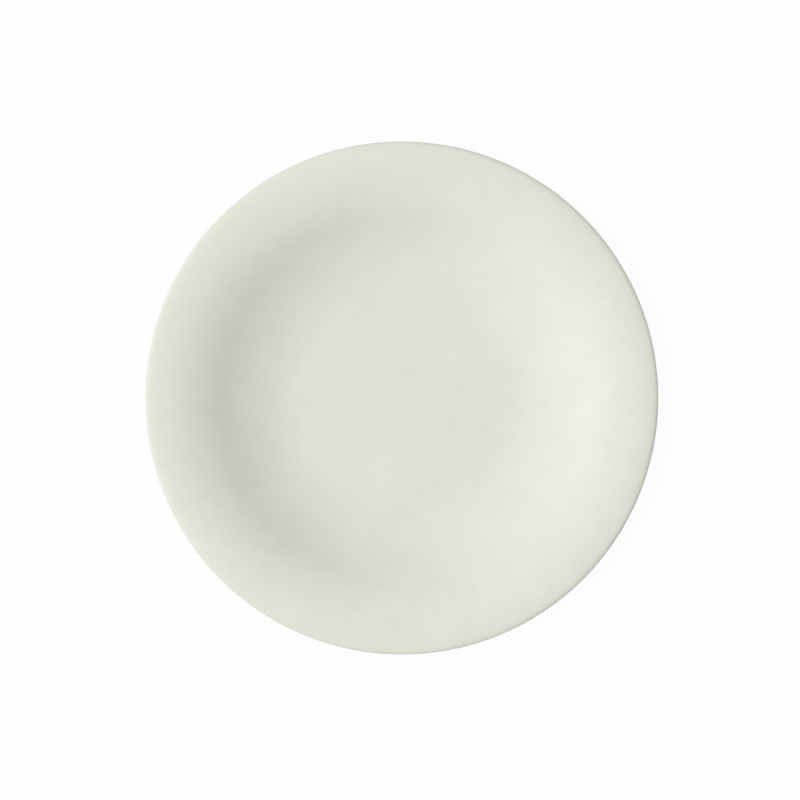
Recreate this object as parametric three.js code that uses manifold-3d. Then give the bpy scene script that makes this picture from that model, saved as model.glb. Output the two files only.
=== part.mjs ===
// A round flat plate: a ceramic body turned about one axis, dipped in glaze all over and then
// wiped bare on the ring that it stands on. Millimetres, +Z up, the standing plane at z = 0.
import * as THREE from "three";
import { mergeVertices } from "three/addons/utils/BufferGeometryUtils.js";
import Module from "manifold-3d";

// Well and rim, measured on the finished glaze
const PLATE_DIAMETER = 270;
const FLOOR_DIAMETER = 105.8; // flat middle of the well
const WELL_DEPTH = 17.1; // crest of the rim above the well's floor
const RIM_WIDTH = 38.4; // outer edge to the steepest line of the wall
const FLANK_LENGTH = 3; // straight stretch of wall between its hollow and its swell
const CREST_INSET = 7.4; // outer edge to the highest line of the rim
const ROLL_INSET = 3; // outer edge to the line where the lip starts to roll over
const LIP_DROOP = 5.5; // degrees that the rim has turned down at that line
const LIP_ROLL = 19; // degrees that the lip has turned down where its nose starts
const FLOOR_THICKNESS = 5;
const RIM_THICKNESS = 4.2;

// Foot ring
const FOOT_DIAMETER = 152; // outside of the standing ring
const FOOT_WIDTH = 3.4; // of the standing ring
const FOOT_HEIGHT = 2.6; // depth of the recess inside the ring
const FOOT_DRAFT = 1; // lean of each flank, from the ring to its root
const FOOT_EDGE_RADIUS = 0.7;
const FOOT_FILLET = 2;

// Glaze
const GLAZE_THICKNESS = 0.3;
const WIPED_HEIGHT = 0.9; // the foot is bare up to here

// Facets
const SEGMENTS = 60; // round the axis
const CHORD_ERROR = 0.1; // of the arcs in the section

// Finishes
const FIRED_BODY = new THREE.MeshStandardMaterial({ color: 0xd9d1c1, roughness: 0.85, metalness: 0 });
const IVORY_GLAZE = new THREE.MeshStandardMaterial({ color: 0xe0e0d5, roughness: 0.6, metalness: 0 });

const wasm = await Module();
wasm.setup();

// The section is drawn in a half plane: x is the radius and y the height.
const point = (radius, height) => new THREE.Vector2(radius, height);
const QUARTER_TURN = Math.PI / 2;
const MERGE_DISTANCE = 1e-6;

// Points along a circular arc, whose chords leave it by CHORD_ERROR at most.
function arc(centre, radius, from, to) {
  const widestStep = 2 * Math.acos(1 - Math.min(CHORD_ERROR / radius, 1));
  const steps = Math.ceil(Math.abs(to - from) / widestStep);
  return new THREE.EllipseCurve(centre.x, centre.y, radius, radius, from, to, to < from).getPoints(steps);
}

// The S-shaped wall of a plate: level at start, hollow, straight across the steepest radius,
// swelling, and level again at end. Two arcs and the flank between them meet without a kink.
function ogee(start, end, steepest) {
  const slope = 2 * Math.atan2(end.y - start.y, end.x - start.x + FLANK_LENGTH);
  const halfFlank = (FLANK_LENGTH / 2) * Math.cos(slope);
  const hollowRadius = (steepest - start.x - halfFlank) / Math.sin(slope);
  const swellRadius = (end.x - steepest - halfFlank) / Math.sin(slope);
  const hollowCentre = point(start.x, start.y + hollowRadius);
  const swellCentre = point(end.x, end.y - swellRadius);
  return [
    ...arc(hollowCentre, hollowRadius, -QUARTER_TURN, slope - QUARTER_TURN),
    ...arc(swellCentre, swellRadius, QUARTER_TURN + slope, QUARTER_TURN),
  ];
}

// The lip past the crest: it droops, rolls over and ends in a round nose on the level underside.
function lip(crest, outerRadius, thickness) {
  const [bendEnd, rollEnd] = [LIP_DROOP, LIP_ROLL].map((a) => QUARTER_TURN - THREE.MathUtils.degToRad(a));
  const along = (angle) => point(Math.cos(angle), Math.sin(angle));
  const bend = (CREST_INSET - ROLL_INSET) / Math.cos(bendEnd);
  const bendCentre = point(crest.x, crest.y - bend);
  const rollStart = along(bendEnd).multiplyScalar(bend).add(bendCentre);

  // The two radii with which roll and nose together reach the outer edge and the underside.
  const rollWay = along(rollEnd).sub(along(bendEnd));
  const noseWay = point(1, -1).sub(along(rollEnd));
  const reach = point(outerRadius, crest.y - thickness).sub(rollStart);
  const roll = reach.cross(noseWay) / rollWay.cross(noseWay);
  const nose = rollWay.cross(reach) / rollWay.cross(noseWay);
  const rollCentre = along(bendEnd).multiplyScalar(-roll).add(rollStart);
  const noseCentre = along(rollEnd).multiplyScalar(roll - nose).add(rollCentre);
  return [
    ...arc(bendCentre, bend, QUARTER_TURN, bendEnd),
    ...arc(rollCentre, roll, bendEnd, rollEnd),
    ...arc(noseCentre, nose, rollEnd, -QUARTER_TURN),
  ];
}

// A corner between two straight runs, rounded as far as half of the shorter run allows.
function rounded(before, corner, after, radius) {
  const back = before.clone().sub(corner);
  const ahead = after.clone().sub(corner);
  const halfTurn = (Math.PI - back.angleTo(ahead)) / 2;
  const room = Math.min(back.length(), ahead.length()) / 2;
  const trim = Math.min(radius * Math.tan(halfTurn), room);
  const fitted = trim / Math.tan(halfTurn);
  const inward = back.normalize().clone().add(ahead.normalize()).normalize();
  const centre = corner.clone().addScaledVector(inward, fitted / Math.cos(halfTurn));
  const first = back.clone().multiplyScalar(trim).add(corner).sub(centre).angle();
  const turn = Math.sign(ahead.cross(back)) * 2 * halfTurn;
  return arc(centre, fitted, first, first + turn);
}

// Height of a section's line at a radius.
function heightAt(line, radius) {
  const outer = line.findIndex((p) => p.x > radius);
  const [a, b] = [line[outer - 1], line[outer]];
  return THREE.MathUtils.mapLinear(radius, a.x, b.x, a.y, b.y);
}

// The foot ring, from its outer root on the underside, across its standing face, to its inner root.
function footRing(underside) {
  const recess = underside[0];
  const outside = FOOT_DIAMETER / 2;
  const inside = outside - FOOT_WIDTH;
  const outerRoot = point(outside + FOOT_DRAFT, heightAt(underside, outside + FOOT_DRAFT));
  const innerRoot = point(inside - FOOT_DRAFT, recess.y);
  const beyond = underside.find((p) => p.x > outerRoot.x + FOOT_FILLET);
  const [outerEdge, innerEdge] = [point(outside, 0), point(inside, 0)];
  return [
    ...rounded(beyond, outerRoot, outerEdge, FOOT_FILLET),
    ...rounded(outerRoot, outerEdge, innerEdge, FOOT_EDGE_RADIUS),
    ...rounded(outerEdge, innerEdge, innerRoot, FOOT_EDGE_RADIUS),
    ...rounded(innerEdge, innerRoot, recess, FOOT_FILLET),
  ];
}

// The unglazed body's section: from the axis across the well, over the lip and back underneath.
function bodySection() {
  const plateRadius = PLATE_DIAMETER / 2;
  const steepest = plateRadius - RIM_WIDTH;
  const rim = RIM_THICKNESS - 2 * GLAZE_THICKNESS;
  const recess = FOOT_HEIGHT + GLAZE_THICKNESS;
  const floor = point(FLOOR_DIAMETER / 2, FOOT_HEIGHT + FLOOR_THICKNESS - GLAZE_THICKNESS);
  const crest = point(plateRadius - CREST_INSET, floor.y + WELL_DEPTH);
  const underFloor = point(floor.x, recess);
  const underCrest = point(crest.x, crest.y - rim);

  const underside = [point(0, recess), ...ogee(underFloor, underCrest, steepest)];
  const foot = footRing(underside);
  const section = [
    point(0, floor.y),
    ...ogee(floor, crest, steepest),
    ...lip(crest, plateRadius - GLAZE_THICKNESS, rim),
    ...underside.filter((p) => p.x > foot[0].x).reverse(),
    ...foot,
    underside[0],
  ];
  return section.filter((p, i) => i === 0 || p.distanceTo(section[i - 1]) > MERGE_DISTANCE);
}

// A section moved outwards along its normals, with its ends still on the axis.
function swollen(section, distance) {
  const normalOf = (a, b) => point(a.y - b.y, b.x - a.x).normalize();
  const normals = section.slice(1).map((p, i) => normalOf(section[i], p));
  return section.map((p, i) => {
    const before = normals[Math.max(i - 1, 0)];
    const after = normals[Math.min(i, normals.length - 1)];
    const mitre = before.clone().add(after).normalize();
    return p.clone().addScaledVector(mitre, distance / mitre.dot(before));
  });
}

// The solid that a section sweeps about Z. The slivers where it touches the axis are left out.
function turned(section) {
  const lathe = new THREE.LatheGeometry([...section].reverse(), SEGMENTS).rotateX(QUARTER_TURN);
  lathe.deleteAttribute("normal");
  lathe.deleteAttribute("uv");
  const { attributes, index } = mergeVertices(lathe);
  const triangles = [];
  for (let i = 0; i < index.count; i += 3) {
    const corners = [...index.array.slice(i, i + 3)];
    if (new Set(corners).size === 3) triangles.push(...corners);
  }
  const vertProperties = attributes.position.array;
  const triVerts = new Uint32Array(triangles);
  return new wasm.Manifold(new wasm.Mesh({ numProp: 3, vertProperties, triVerts }));
}

// A named mesh of a solid.
function piece(name, solid, finish) {
  const { vertProperties, triVerts } = solid.getMesh();
  const geometry = new THREE.BufferGeometry();
  geometry.setAttribute("position", new THREE.BufferAttribute(vertProperties, 3));
  geometry.setIndex(new THREE.BufferAttribute(triVerts, 1));
  geometry.computeVertexNormals();
  const mesh = new THREE.Mesh(geometry, finish);
  mesh.name = name;
  return mesh;
}

// Wiping the foot parts the dipped coat in two: one over the plate, one inside the ring.
const section = bodySection();
const body = turned(section);
const dipped = turned(swollen(section, GLAZE_THICKNESS));
const wipe = turned([
  point(0, WIPED_HEIGHT),
  point(PLATE_DIAMETER, WIPED_HEIGHT),
  point(PLATE_DIAMETER, -FOOT_HEIGHT),
  point(0, -FOOT_HEIGHT),
]);
const coats = dipped.subtract(wipe).subtract(body).decompose();
const [overPlate, insideFoot] = coats.sort((a, b) => b.volume() - a.volume());

const plate = new THREE.Group();
plate.name = "flat_plate";
plate.add(piece("ceramic_body", body, FIRED_BODY));
plate.add(piece("glaze_coat", overPlate, IVORY_GLAZE));
plate.add(piece("base_glaze", insideFoot, IVORY_GLAZE));
export default plate;
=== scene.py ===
"""Dresses a round flat plate: an ivory dinner plate of fired ceramic under a satin glaze.

The plate was turned as one body, dipped in glaze and wiped bare on the ring that it stands on. So it has
three pieces: the fired body, the coat of glaze over the plate, and the coat inside the foot ring. All three
are turned about +Z from one half section. Lengths are in metres, with the standing plane at z = 0.
"""

import logging
import math
from collections.abc import Mapping, Sequence
from dataclasses import dataclass, field
from enum import Enum
from itertools import accumulate, pairwise
from typing import Any

import bmesh
import bpy
import numpy as np
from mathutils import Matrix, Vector


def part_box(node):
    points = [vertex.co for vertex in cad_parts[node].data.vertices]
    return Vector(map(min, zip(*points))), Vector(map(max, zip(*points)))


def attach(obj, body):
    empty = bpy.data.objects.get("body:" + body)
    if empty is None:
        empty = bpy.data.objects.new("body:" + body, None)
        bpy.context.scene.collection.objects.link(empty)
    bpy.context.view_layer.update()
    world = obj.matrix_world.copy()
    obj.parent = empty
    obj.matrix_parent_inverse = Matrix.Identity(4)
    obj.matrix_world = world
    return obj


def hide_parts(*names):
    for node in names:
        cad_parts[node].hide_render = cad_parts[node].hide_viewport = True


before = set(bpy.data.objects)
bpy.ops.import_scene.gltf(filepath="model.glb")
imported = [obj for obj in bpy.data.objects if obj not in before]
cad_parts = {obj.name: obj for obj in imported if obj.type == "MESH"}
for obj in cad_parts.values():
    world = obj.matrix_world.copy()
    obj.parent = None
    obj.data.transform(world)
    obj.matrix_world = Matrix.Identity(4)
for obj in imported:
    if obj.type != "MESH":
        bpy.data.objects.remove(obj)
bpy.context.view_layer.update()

LOG = logging.getLogger("plate")
MM = 0.001
QUARTER_TURN = math.pi / 2
BODY = "root"

# A line of the section: points whose x is a radius and whose y is a height
Line = list[Vector]

# How finely the section is drawn
ARC_STEP = 1.6 * MM
ARC_TURN = math.radians(9)
LEVEL_STEP = 4 * MM
FOOT_STEP = 0.1 * MM
SAME_POINT = 1e-4 * MM
ON_AXIS = 1e-3 * MM

# Faces that meet at more than this keep a sharp edge between them.
SHARP_EDGE = math.radians(50)

# Blender's wave texture has a ring this far apart at a scale of 1.
WAVE_SPACING = math.pi / 10


class CadNode(Enum):
    """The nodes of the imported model, by the names that it gives them."""

    BODY = "ceramic_body"
    OVER_PLATE = "glaze_coat"
    INSIDE_FOOT = "base_glaze"


class Slot(Enum):
    """The record's material slots."""

    FIRED_BODY = "fired_body"
    IVORY_GLAZE = "ivory_glaze"


class MixSocket(Enum):
    """Numbers of the colour sockets of a Mix node, whose names it shares with its other kinds."""

    A = 6
    B = 7
    RESULT = 2


# Section


def arc(centre: Vector, radius: float, start: float, end: float) -> Line:
    """Draws a circular arc of the section.

    Args:
        centre: centre of the circle.
        radius: radius of the circle.
        start: angle of the first point, in radians from the outward direction.
        end: angle of the last point.

    Returns:
        Points along the arc, close enough together to look round.
    """
    widest_step = min(ARC_TURN, ARC_STEP / radius)
    steps = math.ceil(abs(end - start) / widest_step)
    angles = [start + (end - start) * i / steps for i in range(steps + 1)]
    return [centre + radius * Vector((math.cos(a), math.sin(a))) for a in angles]


def rounded(before: Vector, corner: Vector, after: Vector, radius: float) -> Line:
    """Rounds a corner between two straight runs.

    Args:
        before: the point that the first run comes from.
        corner: the corner itself.
        after: the point that the second run goes to.
        radius: radius of the rounding.

    Returns:
        Points along the rounding, from the first run to the second.
    """
    back = (before - corner).normalized()
    ahead = (after - corner).normalized()
    half_turn = (math.pi - back.angle(ahead)) / 2
    centre = corner + (back + ahead).normalized() * radius / math.cos(half_turn)
    first = corner + back * radius * math.tan(half_turn) - centre
    start = math.atan2(first.y, first.x)
    side = math.copysign(1, ahead.cross(back))
    return arc(centre, radius, start, start + side * 2 * half_turn)


def subdivided(line: Line, longest: float) -> Line:
    """Splits the long runs of a line.

    Args:
        line: the line to split.
        longest: the longest run to leave.

    Returns:
        The same line, with points added along its long runs.
    """
    split = [line[0]]
    for a, b in pairwise(line):
        parts = math.ceil((b - a).length / longest)
        split += [a.lerp(b, i / parts) for i in range(1, parts + 1)]
    return split


def mitres(line: Line) -> Line:
    """Finds the directions in which a line grows by an even thickness.

    Args:
        line: a line with the material on its right.

    Returns:
        For each point a vector to its left, long enough for both of its runs to move by 1.
    """
    lefts = [Vector((a.y - b.y, b.x - a.x)).normalized() for a, b in pairwise(line)]
    pairs = zip([lefts[0], *lefts], [*lefts, lefts[-1]])
    return [(a + b).normalized() / math.cos(a.angle(b) / 2) for a, b in pairs]


@dataclass(frozen=True)
class BodySection:
    """Half section of the fired body. Its sizes are those of the finished, glazed plate."""

    plate_radius: float
    crest_height: float
    floor_radius: float = 52.9 * MM
    steepest_inset: float = 38.4 * MM
    flank_length: float = 3.0 * MM
    crest_inset: float = 7.4 * MM
    roll_inset: float = 3.0 * MM
    lip_droop: float = math.radians(5.5)
    lip_roll: float = math.radians(19)
    floor_thickness: float = 5 * MM
    rim_thickness: float = 4.2 * MM
    foot_radius: float = 76 * MM
    foot_width: float = 3.4 * MM
    foot_height: float = 2.6 * MM
    foot_draft: float = 1 * MM
    foot_edge_radius: float = 0.7 * MM
    foot_fillet: float = 2 * MM
    glaze_thickness: float = 0.3 * MM

    @classmethod
    def from_frame(cls) -> "BodySection":
        """Takes the plate's width and height from the coat that covers it."""
        _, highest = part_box(CadNode.OVER_PLATE.value)
        return cls(plate_radius=highest.x, crest_height=highest.z)

    @property
    def recess_height(self) -> float:
        """Height of the bare underside inside the foot ring."""
        return self.foot_height + self.glaze_thickness

    def wall(self, floor_height: float, crest_height: float) -> Line:
        """Draws the S-shaped wall: an arc, a straight flank and an arc, without a kink.

        Args:
            floor_height: height of its level inner end.
            crest_height: height of its level outer end.

        Returns:
            Points from the edge of the floor to the crest.
        """
        floor = Vector((self.floor_radius, floor_height))
        crest = Vector((self.plate_radius - self.crest_inset, crest_height))
        steepest = self.plate_radius - self.steepest_inset
        slope = 2 * math.atan2(crest.y - floor.y, crest.x - floor.x + self.flank_length)
        half_flank = self.flank_length / 2 * math.cos(slope)
        hollow = (steepest - floor.x - half_flank) / math.sin(slope)
        swell = (crest.x - steepest - half_flank) / math.sin(slope)
        return [
            *arc(floor + Vector((0, hollow)), hollow, -QUARTER_TURN, slope - QUARTER_TURN),
            *arc(crest - Vector((0, swell)), swell, QUARTER_TURN + slope, QUARTER_TURN),
        ]

    def lip(self, crest: Vector, thickness: float) -> Line:
        """Draws the lip, which droops past the crest, rolls over and ends in a round nose.

        Args:
            crest: the highest point of the rim.
            thickness: thickness of the rim.

        Returns:
            Points from the crest, round the edge and back to the level underside.
        """
        edge = self.plate_radius - self.glaze_thickness
        droop, roll = (Vector((math.sin(a), math.cos(a))) for a in (self.lip_droop, self.lip_roll))
        bend = (self.crest_inset - self.roll_inset) / droop.x
        bend_centre = crest - Vector((0, bend))
        start = bend_centre + bend * droop

        # The roll and the nose together reach the edge and the underside.
        turn, end = roll - droop, Vector((1, -1)) - roll
        reach = Vector((edge, crest.y - thickness)) - start
        both = turn.cross(end)
        roll_radius, nose = reach.cross(end) / both, turn.cross(reach) / both
        roll_centre = start - roll_radius * droop
        nose_centre = roll_centre + (roll_radius - nose) * roll
        return [
            *arc(bend_centre, bend, QUARTER_TURN, QUARTER_TURN - self.lip_droop),
            *arc(roll_centre, roll_radius, QUARTER_TURN - self.lip_droop, QUARTER_TURN - self.lip_roll),
            *arc(nose_centre, nose, QUARTER_TURN - self.lip_roll, -QUARTER_TURN),
        ]

    def foot(self, underside: Line) -> Line:
        """Draws the foot ring, from its outer root to its inner one.

        Args:
            underside: the plate's underside without a foot, from the crest inwards.

        Returns:
            Points down the outer flank, across the standing face and up the inner flank.
        """
        inside = self.foot_radius - self.foot_width
        root_radius = self.foot_radius + self.foot_draft
        beyond, within = next(p for p in pairwise(underside) if p[1].x <= root_radius)
        root = beyond.lerp(within, (root_radius - beyond.x) / (within.x - beyond.x))
        corners = [
            root + (root - within).normalized() * self.foot_fillet,
            root,
            Vector((self.foot_radius, 0)),
            Vector((inside, 0)),
            Vector((inside - self.foot_draft, self.recess_height)),
            Vector((0, self.recess_height)),
        ]
        radii = [self.foot_fillet, self.foot_edge_radius, self.foot_edge_radius, self.foot_fillet]
        runs = [rounded(*corners[i : i + 3], radius) for i, radius in enumerate(radii)]
        return [point for run in runs for point in run]

    def outline(self) -> Line:
        """Draws the whole section.

        Returns:
            Points from the axis across the well, over the lip, under the rim, round the foot ring and back
            to the axis under the floor.
        """
        floor_height = self.foot_height + self.floor_thickness - self.glaze_thickness
        crest_height = self.crest_height - self.glaze_thickness
        rim = self.rim_thickness - 2 * self.glaze_thickness
        well = self.wall(floor_height, crest_height)
        underside = self.wall(self.recess_height, crest_height - rim)[::-1]
        foot = self.foot(underside)
        across_floor = [Vector((0, floor_height)), well[0]]
        across_recess = [foot[-1], Vector((0, self.recess_height))]
        line = [
            *subdivided(across_floor, LEVEL_STEP),
            *well,
            *self.lip(well[-1], rim),
            *(p for p in underside if p.x > foot[0].x),
            *subdivided(foot, FOOT_STEP),
            *subdivided(across_recess, LEVEL_STEP),
        ]
        return [line[0], *(b for a, b in pairwise(line) if (b - a).length > SAME_POINT)]


# Meshes


def turned(name: str, line: Line, pooling_and_painted_shading: Sequence[float], spokes: int = 192) -> bpy.types.Object:
    """Turns a line about the axis into a closed mesh.

    Args:
        name: name of the piece.
        line: a line from the axis to the axis, with the material on its right.
        pooling_and_painted_shading: for each point of the line how the glaze is painted there, from -1,
            paler, to
        1, deeper: partly glaze that really ran thin or pooled, partly painted light on rims and painted
                   shade in hollows.
        spokes: number of points round the axis.

    Returns:
        The new object, in the scene, with smooth faces.
    """
    turns = [2 * math.pi * i / spokes for i in range(spokes)]
    form = bmesh.new()
    # Each vertex carries how much paler or deeper the glaze is painted there: partly real thin and pooled
    # glaze, partly painted light on rims and painted shade in hollows.
    deepening_and_painted_shading = form.verts.layers.float.new("pooling_and_painted_shading")
    rings = []
    for point, pool_and_painted_shading in zip(line, pooling_and_painted_shading):
        places = [(point.x * math.cos(a), point.x * math.sin(a), point.y) for a in turns]
        ring = [form.verts.new(place) for place in (places[:1] if point.x < ON_AXIS else places)]
        for vertex in ring:
            vertex[deepening_and_painted_shading] = pool_and_painted_shading
        rings.append(ring)
    for inner, outer in pairwise(rings):
        for i in range(spokes):
            corners = ((inner, i), (outer, i), (outer, i + 1), (inner, i + 1))
            vertices = [ring[spoke % len(ring)] for ring, spoke in corners]
            form.faces.new(dict.fromkeys(vertices)).smooth = True
    mesh = bpy.data.meshes.new(name)
    form.to_mesh(mesh)
    form.free()
    mesh.set_sharp_from_angle(angle=SHARP_EDGE)
    piece = bpy.data.objects.new(name, mesh)
    bpy.context.scene.collection.objects.link(piece)
    return piece


def seat(piece: bpy.types.Object, node: CadNode, finish: bpy.types.Material) -> None:
    """Puts a finished piece in a CAD node's place.

    Args:
        piece: the piece that shows.
        node: the node that it stands for.
        finish: the material that it wears.
    """
    piece.data.materials.append(finish)
    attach(piece, BODY)
    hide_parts(node.value)
    LOG.info("%s: %d faces, %s", piece.name, len(piece.data.polygons), finish.name)


@dataclass
class CeramicBody:
    """The fired body, which shows only where the foot ring was wiped bare."""

    outline: Line

    def build(self) -> bpy.types.Object:
        """Turns the body from its own outline."""
        return turned("fired_body", self.outline, [0.0] * len(self.outline))

    def dress(self, piece: bpy.types.Object, finish: bpy.types.Material) -> None:
        """Seats the body in its CAD node's place."""
        seat(piece, CadNode.BODY, finish)


@dataclass
class Coat:
    """A coat of glaze on a stretch of the body, from the axis to the line where it was wiped off."""

    node: CadNode
    stretch: Line
    thickness: float
    bead_width: float = 0.7 * MM
    bead_roll: float = 0.25
    bead_narrowness: float = 4
    skin_gap: float = 0.01 * MM
    # The curve and the way over which the glaze is painted fully paler on rims and deeper in hollows: real
    # glaze that ran thin and pooled, and painted light and painted shade.
    pooling_and_shading_radius: float = 60 * MM
    flow_and_shading_length: float = 20 * MM

    @property
    def starts_on_axis(self) -> bool:
        """Whether the stretch runs from the axis, and not towards it."""
        return self.stretch[0].x < self.stretch[-1].x

    @property
    def runs(self) -> Line:
        """The straight runs from each point of the stretch to the next."""
        return [b - a for a, b in pairwise(self.stretch)]

    def edge_distances(self) -> list[float]:
        """Measures each point's way along the stretch from the wiped line.

        Returns:
            The ways, in the order of the points.
        """
        lengths = [run.length for run in self.runs]
        if self.starts_on_axis:
            return list(accumulate(lengths[::-1], initial=0.0))[::-1]
        return list(accumulate(lengths, initial=0.0))

    def thickness_at(self, edge_distance: float) -> float:
        """Finds the thickness of the glaze, which rolls up into a round bead at its wiped edge.

        Args:
            edge_distance: the way to the wiped line.

        Returns:
            The height of the glaze above the body.
        """
        share = edge_distance / self.bead_width
        round_edge = math.sqrt(1 - (1 - min(share, 1)) ** 2)
        roll = 1 + self.bead_roll * math.exp(-self.bead_narrowness * (share - 1) ** 2)
        return self.skin_gap + (self.thickness - self.skin_gap) * round_edge * roll

    def pooling_and_painted_shading(self) -> list[float]:
        """Finds where the glaze is painted paler, over round rims, and deeper, in hollows: partly glaze
        that really runs thin and pools there, partly painted light on the rims and painted shade in the
        hollows.

        Returns:
            For each point of the stretch a value from -1, paler, to 1, deeper. Both are reached where the
            surface is rounded to the pooling and shading radius, over as long a way as the wet glaze flows.
        """
        ways = np.array([0.0, *accumulate(run.length for run in self.runs)])
        middles = (ways[:-1] + ways[1:]) / 2
        turns = (-a.angle_signed(b) for a, b in pairwise(self.runs))
        headings = list(accumulate(turns, initial=0.0))
        ahead, behind = (
            np.interp(ways + side * self.flow_and_shading_length / 2, middles, headings) for side in (1, -1)
        )
        curvature = (ahead - behind) / self.flow_and_shading_length
        return np.clip(curvature * self.pooling_and_shading_radius, -1, 1).tolist()

    def build(self) -> bpy.types.Object:
        """Turns the coat, a closed shell that lies on the body.

        Returns:
            The new piece.
        """
        ways = mitres(self.stretch)
        heights = [self.thickness_at(d) for d in self.edge_distances()]
        outer = [p + way * height for p, way, height in zip(self.stretch, ways, heights)]
        inner = [p + way * self.skin_gap for p, way in zip(self.stretch, ways)]
        # Paler glaze over rims and deeper glaze in hollows: partly real thin and pooled glaze, partly
        # painted light and painted shade. The hidden inner skin gets none.
        pooling_and_painted_shading = self.pooling_and_painted_shading()
        hidden = [0.0] * len(inner)
        if self.starts_on_axis:
            shell, shell_pooling_and_painted_shading = outer + inner[-2::-1], pooling_and_painted_shading + hidden[1:]
        else:
            shell, shell_pooling_and_painted_shading = inner[:0:-1] + outer, hidden[1:] + pooling_and_painted_shading
        return turned(f"{self.node.value}_dipped", shell, shell_pooling_and_painted_shading)

    def dress(self, piece: bpy.types.Object, finish: bpy.types.Material) -> None:
        """Seats the coat in its CAD node's place."""
        seat(piece, self.node, finish)


def wiped_stretches(outline: Line, wiped_height: float) -> tuple[Line, Line]:
    """Parts the body's outline where its foot was wiped.

    Args:
        outline: the body's outline.
        wiped_height: height up to which the foot is bare.

    Returns:
        The glazed stretch over the plate and the glazed stretch inside the foot ring.
    """
    bare = [i for i, p in enumerate(outline) if p.y < wiped_height]
    return outline[: bare[0]], outline[bare[-1] + 1 :]


# Finishes


def linear(colour: str) -> tuple[float, float, float, float]:
    """Turns an sRGB hex colour into linear light.

    Args:
        colour: a colour such as "#dddfd2".

    Returns:
        Linear red, green and blue, and an alpha of 1.
    """
    shares = [int(colour[i : i + 2], 16) / 255 for i in (1, 3, 5)]
    red, green, blue = (s / 12.92 if s <= 0.04045 else ((s + 0.055) / 1.055) ** 2.4 for s in shares)
    return red, green, blue, 1.0


def add_node(
    tree: bpy.types.NodeTree, kind: str, inputs: Mapping[str | int, Any], **settings: Any
) -> bpy.types.Node:
    """Adds a node with its settings and links.

    Args:
        tree: the node tree that it goes into.
        kind: Blender's name for this type of node.
        inputs: for each input, by name or number, its value or the socket that feeds it.
        settings: attributes of the node itself.

    Returns:
        The new node.
    """
    node = tree.nodes.new(kind)
    for name, value in settings.items():
        setattr(node, name, value)
    for key, value in inputs.items():
        if isinstance(value, bpy.types.NodeSocket):
            tree.links.new(value, node.inputs[key])
        else:
            node.inputs[key].default_value = value
    return node


def empty_tree(owner: bpy.types.Material | bpy.types.World) -> bpy.types.NodeTree:
    """Gives a material or a world an empty node tree.

    Args:
        owner: the material or world.

    Returns:
        Its tree, without nodes.
    """
    owner.use_nodes = True
    owner.node_tree.nodes.clear()
    return owner.node_tree


@dataclass(frozen=True)
class Spots:
    """A pattern of soft spots: their size, how many finer layers they have and how strong those are."""

    size: float
    layers: int
    fineness: float = 0.5

    def inputs(self, place: bpy.types.NodeSocket) -> dict[str, Any]:
        """Gives the inputs of a noise texture that draws the spots.

        Args:
            place: the socket that gives each place on the piece.

        Returns:
            Values and sockets by the names of the texture's inputs.
        """
        return {
            "Vector": place,
            "Scale": 1 / self.size,
            "Detail": self.layers,
            "Roughness": self.fineness,
        }


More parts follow.
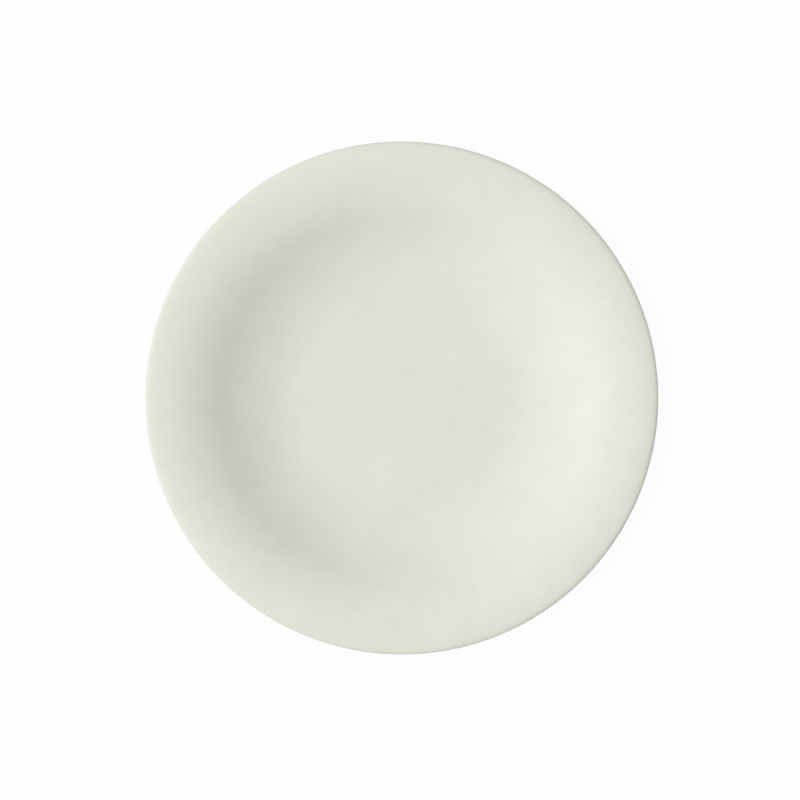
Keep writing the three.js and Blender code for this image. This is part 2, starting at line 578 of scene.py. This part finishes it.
@dataclass(frozen=True)
class SatinGlaze:
    """Ivory satin glaze, dipped and fired.

    Fine crystals in the glass make it opaque and scatter the light. The eye sees an even, creamy ivory with
    soft shading, a broad sheen and no mirror image. It is painted a shade deeper in the hollows and paler
    on
    the rim: partly glaze that pooled there and ran thin, partly painted shade in the hollows and painted
    light on the rim. Close up it is faintly clouded, with a slight orange peel and a fine crystal grain.
    """

    name: str = "ivory_satin_glaze_dipped_and_fired"
    # The pale and the deep end of the glaze's tone. Random clouds and crystal grain mix them; so does the
    # pooling value, partly as painted shade in the hollows and painted light on the rim.
    ivory: str = "#e6e5db"
    deep_ivory: str = "#d7d8cb"
    roughness: float = 0.6
    roughness_spread: float = 0.06
    ior: float = 1.52
    # How far the pooling value deepens or pales the glaze: partly real pooled and thin glaze, partly
    # painted shade and painted light.
    pool_and_painted_shading_share: float = 0.1
    clouds: Spots = Spots(18 * MM, layers=3, fineness=0.8)
    cloud_share: float = 0.7
    peel: Spots = Spots(3.5 * MM, layers=1)
    peel_depth: float = 0.02 * MM
    # Real crystals are about 0.1 mm across. They are drawn ten times as coarse, to show at all.
    crystals: Spots = Spots(1.1 * MM, layers=3)
    crystal_depth: float = 0.004 * MM
    crystal_share: float = 0.3

    def material(self) -> bpy.types.Material:
        """Makes the glaze.

        Returns:
            The new material.
        """
        material = bpy.data.materials.new(self.name)
        tree = empty_tree(material)
        place = add_node(tree, "ShaderNodeTexCoord", {}).outputs["Object"]
        clouds, peel, crystals = (
            add_node(tree, "ShaderNodeTexNoise", spots.inputs(place))
            for spots in (self.clouds, self.peel, self.crystals)
        )
        # The pooling value of each place: deeper in hollows and paler on rims, partly real glaze and partly
        # painted shade and painted light. It adds to the random clouds and crystals that deepen the ivory.
        pooling_and_painted_shading = add_node(tree, "ShaderNodeAttribute", {}, attribute_name="pooling_and_painted_shading")
        deepening_and_painted_shading: float | bpy.types.NodeSocket = 0.0
        for source, share in (
            (clouds, self.cloud_share),
            (crystals, self.crystal_share),
            (pooling_and_painted_shading, self.pool_and_painted_shading_share),
        ):
            inputs = {0: source.outputs["Fac"], 1: share, 2: deepening_and_painted_shading}
            deepening_and_painted_shading = add_node(tree, "ShaderNodeMath", inputs, operation="MULTIPLY_ADD").outputs[0]
        colour = add_node(
            tree,
            "ShaderNodeMix",
            {
                "Factor": deepening_and_painted_shading,
                MixSocket.A.value: linear(self.ivory),
                MixSocket.B.value: linear(self.deep_ivory),
            },
            data_type="RGBA",
        )
        sheen = add_node(
            tree,
            "ShaderNodeMapRange",
            {
                "Value": crystals.outputs["Fac"],
                "To Min": self.roughness - self.roughness_spread,
                "To Max": self.roughness + self.roughness_spread,
            },
        )
        orange_peel = add_node(
            tree, "ShaderNodeBump", {"Height": peel.outputs["Fac"], "Distance": self.peel_depth}
        )
        crystal_grain = add_node(
            tree,
            "ShaderNodeBump",
            {
                "Height": crystals.outputs["Fac"],
                "Distance": self.crystal_depth,
                "Normal": orange_peel.outputs["Normal"],
            },
        )
        shader = add_node(
            tree,
            "ShaderNodeBsdfPrincipled",
            {
                "Base Color": colour.outputs[MixSocket.RESULT.value],
                "Roughness": sheen.outputs["Result"],
                "IOR": self.ior,
                "Normal": crystal_grain.outputs["Normal"],
            },
        )
        add_node(tree, "ShaderNodeOutputMaterial", {"Surface": shader.outputs["BSDF"]})
        return material


@dataclass(frozen=True)
class FiredStoneware:
    """Bare vitrified stoneware, ground level on the foot.

    Without its glaze the clay is a warmer, dry off-white. The eye sees fine pale and dark grains and the
    rings that the grinding wheel left, with no sheen.
    """

    name: str = "fired_stoneware_ground"
    clay: str = "#d9d1c1"
    dark_grain: str = "#bfb5a2"
    roughness: float = 0.85
    ior: float = 1.5
    grains: Spots = Spots(0.5 * MM, layers=4)
    grain_share: float = 0.6
    ring_spacing: float = 0.4 * MM
    ring_depth: float = 0.01 * MM
    ring_waver: float = 2
    ring_layers: int = 2

    def material(self) -> bpy.types.Material:
        """Makes the bare clay.

        Returns:
            The new material.
        """
        material = bpy.data.materials.new(self.name)
        tree = empty_tree(material)
        place = add_node(tree, "ShaderNodeTexCoord", {}).outputs["Object"]
        grains = add_node(tree, "ShaderNodeTexNoise", self.grains.inputs(place))
        share = add_node(
            tree, "ShaderNodeMath", {0: grains.outputs["Fac"], 1: self.grain_share}, operation="MULTIPLY"
        )
        colour = add_node(
            tree,
            "ShaderNodeMix",
            {
                "Factor": share.outputs[0],
                MixSocket.A.value: linear(self.clay),
                MixSocket.B.value: linear(self.dark_grain),
            },
            data_type="RGBA",
        )
        rings = add_node(
            tree,
            "ShaderNodeTexWave",
            {
                "Vector": place,
                "Scale": WAVE_SPACING / self.ring_spacing,
                "Distortion": self.ring_waver,
                "Detail": self.ring_layers,
            },
            wave_type="RINGS",
            rings_direction="Z",
        )
        ground = add_node(
            tree, "ShaderNodeBump", {"Height": rings.outputs["Fac"], "Distance": self.ring_depth}
        )
        shader = add_node(
            tree,
            "ShaderNodeBsdfPrincipled",
            {
                "Base Color": colour.outputs[MixSocket.RESULT.value],
                "Roughness": self.roughness,
                "IOR": self.ior,
                "Normal": ground.outputs["Normal"],
            },
        )
        add_node(tree, "ShaderNodeOutputMaterial", {"Surface": shader.outputs["BSDF"]})
        return material


# Studio


def background_share(tree: bpy.types.NodeTree) -> bpy.types.NodeSocket:
    """Finds the rays that see the background itself and aren't lit by it.

    Args:
        tree: the tree of the floor or the world.

    Returns:
        A socket that is 1 for camera, glossy and transmitted rays and 0 for the rest.
    """
    path = add_node(tree, "ShaderNodeLightPath", {})
    seen = path.outputs["Is Camera Ray"]
    for kind in ("Is Glossy Ray", "Is Transmission Ray"):
        inputs = {0: seen, 1: path.outputs[kind]}
        seen = add_node(tree, "ShaderNodeMath", inputs, operation="MAXIMUM").outputs[0]
    return seen


@dataclass(frozen=True)
class Studio:
    """A white sweep, one wide soft light from the left and even light from all round."""

    floor_side: float = 6.0
    floor_colour: str = "#eeeeec"
    floor_whiteness: float = 0.95
    light_colour: str = "#ffffff"
    white_radiance: float = 1.0
    key_elevation: float = math.radians(58)
    key_azimuth: float = math.radians(3)
    key_width: float = math.radians(90)
    key_irradiance: float = 2.69
    fill_radiance: float = 0.223

    def floor(self) -> bpy.types.Object:
        """Lays the floor, which is white to the eye but still takes a faint shadow.

        Returns:
            The floor, which is not attached to the plate's body.
        """
        half = self.floor_side / 2
        corners = [(-half, -half, 0), (half, -half, 0), (half, half, 0), (-half, half, 0)]
        mesh = bpy.data.meshes.new("floor")
        mesh.from_pydata(corners, [], [range(4)])
        floor = bpy.data.objects.new("floor", mesh)
        bpy.context.scene.collection.objects.link(floor)

        material = bpy.data.materials.new("white_paper_sweep")
        tree = empty_tree(material)
        share = add_node(
            tree,
            "ShaderNodeMath",
            {0: background_share(tree), 1: self.floor_whiteness},
            operation="MULTIPLY",
        )
        paper = add_node(tree, "ShaderNodeBsdfDiffuse", {"Color": linear(self.floor_colour)})
        glow = add_node(
            tree,
            "ShaderNodeEmission",
            {"Color": linear(self.light_colour), "Strength": self.white_radiance},
        )
        mixed = add_node(
            tree,
            "ShaderNodeMixShader",
            {"Fac": share.outputs[0], 1: paper.outputs["BSDF"], 2: glow.outputs["Emission"]},
        )
        add_node(tree, "ShaderNodeOutputMaterial", {"Surface": mixed.outputs["Shader"]})
        mesh.materials.append(material)
        return floor

    def light(self) -> None:
        """Sets the key light and the world's even fill."""
        lamp = bpy.data.lights.new("key", "SUN")
        lamp.energy = self.key_irradiance
        lamp.angle = self.key_width
        key = bpy.data.objects.new("key", lamp)
        key.rotation_euler = (0, self.key_elevation - QUARTER_TURN, -self.key_azimuth)
        bpy.context.scene.collection.objects.link(key)

        world = bpy.data.worlds.new("studio")
        tree = empty_tree(world)
        fill, white = (
            add_node(
                tree, "ShaderNodeBackground", {"Color": linear(self.light_colour), "Strength": radiance}
            )
            for radiance in (self.fill_radiance, self.white_radiance)
        )
        mixed = add_node(
            tree,
            "ShaderNodeMixShader",
            {
                "Fac": background_share(tree),
                1: fill.outputs["Background"],
                2: white.outputs["Background"],
            },
        )
        add_node(tree, "ShaderNodeOutputWorld", {"Surface": mixed.outputs["Shader"]})
        bpy.context.scene.world = world
        bpy.context.scene.view_settings.view_transform = "Standard"


@dataclass(frozen=True)
class OverheadCamera:
    """A camera straight above the plate, placed so that the plate fills the frame as photographed."""

    section: BodySection
    lens: float = 100.0
    sensor: float = 36.0
    image_pixels: int = 800
    plate_centre_pixel: tuple[float, float] = (401.8, 398.0)
    plate_radius_pixels: float = 256.5

    def place(self) -> None:
        """Makes the camera and looks through it."""
        pixel = self.section.plate_radius / self.plate_radius_pixels
        distance = self.image_pixels * pixel * self.lens / self.sensor
        widest_height = self.section.crest_height - self.section.rim_thickness / 2
        across, down = (c - self.image_pixels / 2 for c in self.plate_centre_pixel)
        data = bpy.data.cameras.new("overhead")
        data.lens = self.lens
        data.sensor_width = self.sensor
        camera = bpy.data.objects.new("overhead", data)
        camera.location = (-across * pixel, down * pixel, widest_height + distance)
        bpy.context.scene.collection.objects.link(camera)
        bpy.context.scene.camera = camera


@dataclass
class Plate:
    """The whole plate: its body and its two coats of glaze."""

    section: BodySection
    wiped_height: float = 0.9 * MM
    glaze: SatinGlaze = field(default_factory=SatinGlaze)
    clay: FiredStoneware = field(default_factory=FiredStoneware)

    def build(self) -> None:
        """Turns and dresses each piece in order."""
        outline = self.section.outline()
        over_plate, inside_foot = wiped_stretches(outline, self.wiped_height)
        body = CeramicBody(outline)
        body.dress(body.build(), self.clay.material())
        glaze = self.glaze.material()
        thickness = self.section.glaze_thickness
        for node, stretch in ((CadNode.OVER_PLATE, over_plate), (CadNode.INSIDE_FOOT, inside_foot)):
            coat = Coat(node, stretch, thickness)
            coat.dress(coat.build(), glaze)


def main() -> None:
    """Builds the plate, the studio and the camera."""
    logging.basicConfig(level=logging.INFO, format="%(name)s: %(message)s")
    section = BodySection.from_frame()
    Plate(section).build()
    studio = Studio()
    studio.floor()
    studio.light()
    OverheadCamera(section).place()


if __name__ == "__main__":
    main()
